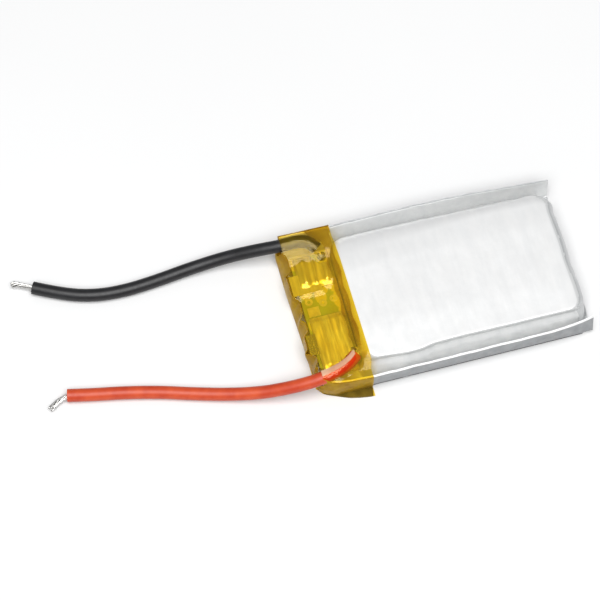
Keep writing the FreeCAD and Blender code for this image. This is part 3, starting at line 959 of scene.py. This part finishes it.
def surface_tree(pieces):
    """A search tree of the pieces' finished surfaces."""
    bpy.context.view_layer.update()
    graph = bpy.context.evaluated_depsgraph_get()
    points, faces = [], []
    for piece in pieces:
        mesh = bpy.data.meshes.new_from_object(piece.evaluated_get(graph))
        start = len(points)
        points += [piece.matrix_world @ v.co for v in mesh.vertices]
        faces += [[start + i for i in face.vertices] for face in mesh.polygons]
        bpy.data.meshes.remove(mesh)
    return BVHTree.FromPolygons(points, faces)


def support_height(x, y):
    """Top of whatever lies under each point of the tape, widened by one step to clear its edges."""
    pieces = [bpy.data.objects[name] for name in UNDER_TAPE]
    tree = surface_tree(pieces + [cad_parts[name] for name in UNDER_TAPE_NODES])
    height = np.zeros_like(x)
    for index in np.ndindex(x.shape):
        hit = tree.ray_cast(Vector((x[index], y[index], 20.0)) * MM, Vector((0, 0, -1)))[0]
        height[index] = hit.z / MM if hit else 0.0
    wide = np.pad(height, 1, mode="edge")
    rows, columns = x.shape
    return eased(np.max([wide[r:r + rows, c:c + columns] for r in range(3) for c in range(3)], axis=0))


def beside(height):
    """The four neighbours of each point of a grid."""
    p = np.pad(height, 1, mode="edge")
    return p[:-2, 1:-1], p[2:, 1:-1], p[1:-1, :-2], p[1:-1, 2:]


def eased(height):
    """Makes each drop a slope, since a film never follows a sharp one."""
    for _ in range(13):
        height = np.maximum(height, np.max(beside(height), axis=0) - STEEPEST_STEP)
    return height


def settle(height, support, fixed, pull, rounds, stride=1.9):
    """Stretches the sheet over its supports: a membrane under a light downward pull."""
    row, column = np.indices(height.shape)
    for turn in range(2 * rounds):
        mean = sum(beside(height)) / 4
        moved = np.maximum(height + stride * (mean - pull - height), support)
        held = fixed | ((row + column) % 2 == turn % 2)
        height = np.where(held, height, moved)
    return height


def pull_field(x, y):
    """Where fingers pressed the tape down: on the board and its far strip, and by the near seal."""
    on_board = smooth(-14.3, -13.8, x) * smooth(-4.8, -3.6, y) * (1 - smooth(6.0, 6.7, y))
    near_pocket = bump(-8.45, 0.40, y)
    return 0.00004 + 0.0008 * on_board + 0.0012 * near_pocket


def roof_right_edge(y):
    """The wrap's right edge: on the seals it lies lower than where it climbs the cup's end wall."""
    over_cup = smooth(-8.2, -7.0, y) * (1 - smooth(7.2, 8.2, y))
    return TAPE_RIGHT + over_cup * (0.20 - 0.012 * y)


def roof_left_edge(y):
    """The wrap's left edge: out over the two tabs, drawn back between them and at the leads."""
    over_tab = sum(smooth(1.9, 1.0, abs(y - side * 3.6)) for side in (-1, 1))
    over_black = smooth(6.6, 7.6, y)
    return ROOF_LEFT + 0.60 * (1 - over_tab) * (1 - over_black) + 0.22 * over_black


def pleat_opening(y):
    """1 in the middle of each open pleat, 0 away from them."""
    return np.clip(sum(bump(centre, half, y) for centre, half in PLEATS), 0.0, 1.0)


def seal_line(stations, x):
    """How far out the tape lies at the top of a side seal."""
    return FOLD_Y + lean_at(stations, np.clip(x, TERRACE_LEFT, None)) + 0.09


def roof_grid(rows, columns):
    """The wrap's top, from the left edge to the right, between the tops of the two seals."""
    u = np.linspace(0, 1, rows)[:, None]
    v = np.linspace(0, 1, columns)[None, :]
    x = ROOF_LEFT + (TAPE_RIGHT - ROOF_LEFT) * u
    for _ in range(4):
        near, far = -seal_line(NEAR_LEAN, x), seal_line(FAR_LEAN, x)
        y = near + (far - near) * v
        left = roof_left_edge(y)
        x = left + (roof_right_edge(y) - left) * u
    support = support_height(x, y)
    fixed = np.zeros_like(support, bool)
    fixed[:, [0, -1]] = True
    start = np.maximum(support, 3.0)
    start[:, 0] = near_top(x[:, 0]) - CLEARANCE
    start[:, -1] = SEAL_TOP - CLEARANCE
    z = settle(start, support, fixed, pull_field(x, y), 260)
    z = settle(z, support - 0.05, fixed, 0.0, 5, 1.0) + TAPE_FILM + CLEARANCE
    z += 0.10 * pleat_opening(y) * smooth(0.5, 0.0, x - left)
    return np.stack([x, y, z], -1)


def fin_reach(x):
    """How far the pinched edge stands out from the middle of the pack."""
    return np.interp(x, (-14.9, -14.5, -14.1, -13.6, -12.7, -11.7, -10.7, -9.4, -9.0),
                     (7.4, 8.05, 8.32, 8.55, 8.95, 9.36, 9.58, 9.75, 9.78))


def skirt_grid(side, top_edge):
    """The tape from the roof's edge down a seal's outer face to its foot."""
    x, y, z = top_edge.T[:, :, None]
    t = np.linspace(0, 1, 24)
    foot = FOLD_Y + 0.08 - side_curl(side, x)
    out = abs(y) * (1 - t) + foot * t + 0.10 * np.sin(math.pi * t)
    return np.stack(np.broadcast_arrays(x, side * out, z * (1 - t) + 0.10 * t), -1)


def fin_grid(side, x, lift):
    """One of the two layers of tape that are pinched together beyond a seal's foot."""
    x = x[:, None]
    t = np.linspace(0, 1, 14)
    root = FOLD_Y - 0.05 - side_curl(side, x)
    out = root + (np.maximum(fin_reach(x), root) - root) * t
    drawn_back = 0.22 * t * smooth(-11.5, -9.2, x)
    wave = 0.035 * np.sin(2.3 * x + 2.0 * t) * t
    return np.stack([x - drawn_back, side * out, lift + wave], -1)


def crumpled(grid, amount):
    """Fine folds over the film, which stand out from it and hardly go in."""
    flat = grid.reshape(-1, 3)
    facets = crease_field(flat, (0.9, 1.9, 1.2), 4)
    ripple = noise_field(flat, (0.5, 1.6, 0.8), 6)
    normals = grid_normals(flat.reshape(grid.shape)).reshape(-1, 3)
    push = amount * ((facets - 0.25) * 0.9 + ripple * 0.5)
    low = smooth(0.05, 0.5, flat[:, 2])
    return (flat + normals * (np.maximum(push, -0.01) * low)[:, None]).reshape(grid.shape)


def grid_normals(grid):
    """Unit normals of a (rows, columns, 3) grid."""
    down = np.gradient(grid, axis=0)
    across_rows = np.gradient(grid, axis=1)
    normals = np.cross(down, across_rows)
    return normals / np.maximum(np.linalg.norm(normals, axis=-1, keepdims=True), 1e-9)


def end_wall_path():
    """Footprint of the wrap's end: round the crushed near corner, across, and to the far corner."""
    corners = np.array([(-13.9, -8.36), (-14.2, -8.20), (-14.55, -7.95), (-14.80, -7.40),
                        (-14.88, -6.70), (-14.94, -5.1), (-15.10, 0.0), (-15.27, 4.1), (-15.28, 7.9),
                        (-15.15, 8.45), (-14.95, 8.66), (-14.60, 8.72)])
    length = np.concatenate([[0], np.cumsum(np.linalg.norm(np.diff(corners, axis=0), axis=1))])
    t = np.linspace(0, length[-1], 340)
    return np.column_stack([np.interp(t, length, corners[:, 0]), np.interp(t, length, corners[:, 1])])


def below_leads(top, foot):
    """Lowers the end wall's top edge where a lead comes out over it."""
    far_lean = smooth(7.5, 8.5, foot[:, 1])
    for line in (BLACK_LINE, RED_LINE):
        at = line[tape_exit(line)]
        under = np.column_stack([foot, np.full(len(foot), at[2] - LEAD_RADIUS - 0.15)])
        under[:, 1] += 0.62 * far_lean
        near_lead = smooth(1.15, 0.75, abs(foot[:, 1] - at[1]))[:, None]
        top = np.where(top[:, 2:] > under[:, 2:], top * (1 - near_lead) + under * near_lead, top)
    return top


def end_wall_top(foot, edge):
    """The roof's edge over the end wall, pushed out at the pleats and folded at the near corner."""
    opening = pleat_opening(foot[:, 1])
    top = np.column_stack([np.interp(foot[:, 1], edge[:, 1], edge[:, axis]) for axis in range(3)])
    top[:, 2] -= 0.04 + 0.42 * opening
    top[:, 0] -= 0.40 * opening
    top = below_leads(top, foot)
    corner = smooth(-7.5, -8.3, foot[:, 1])[:, None]
    folded = np.column_stack([foot, near_top(foot[:, 0])])
    return top * (1 - corner) + folded * corner


def end_wall_grid(roof):
    """The wrap's end, folded down from the roof's left edge, open under the two leads."""
    foot = end_wall_path()
    top = end_wall_top(foot, roof[0])
    bottom = np.column_stack([foot, np.full(len(foot), 0.05)])
    t = np.linspace(0, 1, 26)[:, None]
    grid = bottom * (1 - t[..., None]) + top * t[..., None]
    pleat = 0.05 * np.sin(foot[:, 1] * 2.7 + 3.0 * t) * np.sin(math.pi * t)
    grid[..., 0] += pleat - 0.10 * np.sin(math.pi * t)
    return grid


def film_kind(face):
    """Number in ROOF_FILMS of a face: 2 painted shade on upright faces, 4 clinging or 1 a painted highlight
    on the red lead, 3 painted shade by the cup and on the far seal.
    """
    x, y, _ = face.center / MM
    beside_red = y - np.interp(x, RED_LINE[::-1, 0], RED_LINE[::-1, 1])
    shade_left = -10.30 + 0.10 * math.sin(2.2 * y)
    shade_right = -9.40 + 0.09 * math.sin(1.7 * y + 1.0)
    if abs(face.normal.y) > 0.8 and abs(y) > 8.2:
        return 2
    if x < -10.4 and CLINGS_FROM < beside_red < PAINTED_GLARE_TO:
        return 1 if beside_red > PAINTED_GLARE_FROM else 4
    beside_cup = shade_left < x < shade_right and y > -5.4
    on_far_seal = y > 8.1 + 0.5 * math.sin(1.9 * x) and x > -11.4 - 0.4 * (y - 8.1)
    return 3 if beside_cup or on_far_seal else 0


def underside_grid(rows, columns):
    """The wrap's flat run across the pack's back, from fin to fin."""
    x = np.linspace(TAPE_LEFT, TAPE_RIGHT, rows)
    y = fin_reach(x)[:, None] * np.linspace(-1, 1, columns)[None, :]
    return np.stack([np.repeat(x[:, None], columns, 1), y, np.full(y.shape, 0.004)], -1)


def film_piece(name, grids, film, *nodes):
    """A piece of the wrap from its grids, thick as the film."""
    piece = mesh_piece(name, *join_grids([(grid, False) for grid in grids]), film)
    thicken(piece, TAPE_FILM)
    place(piece, "polyimide_tape", *nodes)
    return piece


def make_tape():
    """The wrap: its top and sides in one sheet, the folded end, the pinched fins and the underside."""
    roof = roof_grid(130, 330)
    near_skirt = skirt_grid(-1, roof[:, 0])[:, ::-1]
    far_skirt = skirt_grid(1, roof[:, -1])
    upper = crumpled(np.concatenate([near_skirt[:, :-1], roof, far_skirt[:, 1:]], 1), 0.035)
    fins = [fin_grid(side, roof[:, edge, 0], lift)[::-side]
            for side, edge in ((-1, 0), (1, -1)) for lift in (0.09, 0.16)]
    wrap = film_piece("tape_wrap", [upper[::-1]], ROOF_FILMS[0], "polyimide_tape_wrap")
    finish_faces(wrap, ROOF_FILMS[1:], film_kind)
    film_piece("tape_end", [end_wall_grid(roof)[::-1]], UPRIGHT_SHADE_TAPE)
    film_piece("tape_fins", fins, FIN_SHADE_TAPE)
    film_piece("tape_underside", [underside_grid(30, 80)], TAPE)


make_tape()


# ---- CAD nodes that stay ----
# Materials of the parts and the cell's insides: (name, dark, light, roughness, nodes).
PLAIN_PARTS = [
    ("chip_epoxy", (0.010, 0.010, 0.011), (0.022, 0.022, 0.024), 0.55,
     ["protection_chip", "dual_transistor"]),
    ("resistor_body", (0.012, 0.012, 0.014), (0.03, 0.03, 0.034), 0.3, ["resistors"]),
    ("capacitor_body", (0.36, 0.22, 0.12), (0.46, 0.30, 0.17), 0.4, ["capacitor"]),
    ("insulating_paper", (0.62, 0.50, 0.28), (0.72, 0.60, 0.36), 0.8, ["board_insulator"]),
    ("sealant_film", (0.60, 0.60, 0.55), (0.70, 0.70, 0.66), 0.5,
     ["negative_tab_sealant", "positive_tab_sealant"]),
    ("cathode_coating", (0.012, 0.012, 0.014), (0.03, 0.03, 0.035), 0.8, ["cathode_plates"]),
    ("anode_coating", (0.025, 0.024, 0.023), (0.05, 0.048, 0.045), 0.7, ["anode_plates"]),
    ("separator", (0.82, 0.82, 0.80), (0.90, 0.90, 0.89), 0.6, ["separator_sheets"]),
    ("stack_tape", (0.03, 0.20, 0.07), (0.05, 0.28, 0.10), 0.25, ["stack_wrap_tape"]),
]


def dress(material, *nodes):
    """Gives CAD nodes that stay their material."""
    for node in nodes:
        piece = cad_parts[node]
        piece.data.materials.clear()
        piece.data.materials.append(material)


def dress_nodes():
    dress(board_material(), "protection_board")
    dress(TIN, "board_pads", "protection_chip_leads", "dual_transistor_leads")
    dress(SOLDER, "negative_solder_joint", "positive_solder_joint")
    dress(NICKEL, "negative_tab")
    dress(ALUMINIUM, "positive_tab")
    for name, dark, light, roughness, nodes in PLAIN_PARTS:
        dress(plain_material(name, dark, light, roughness), *nodes)


dress_nodes()
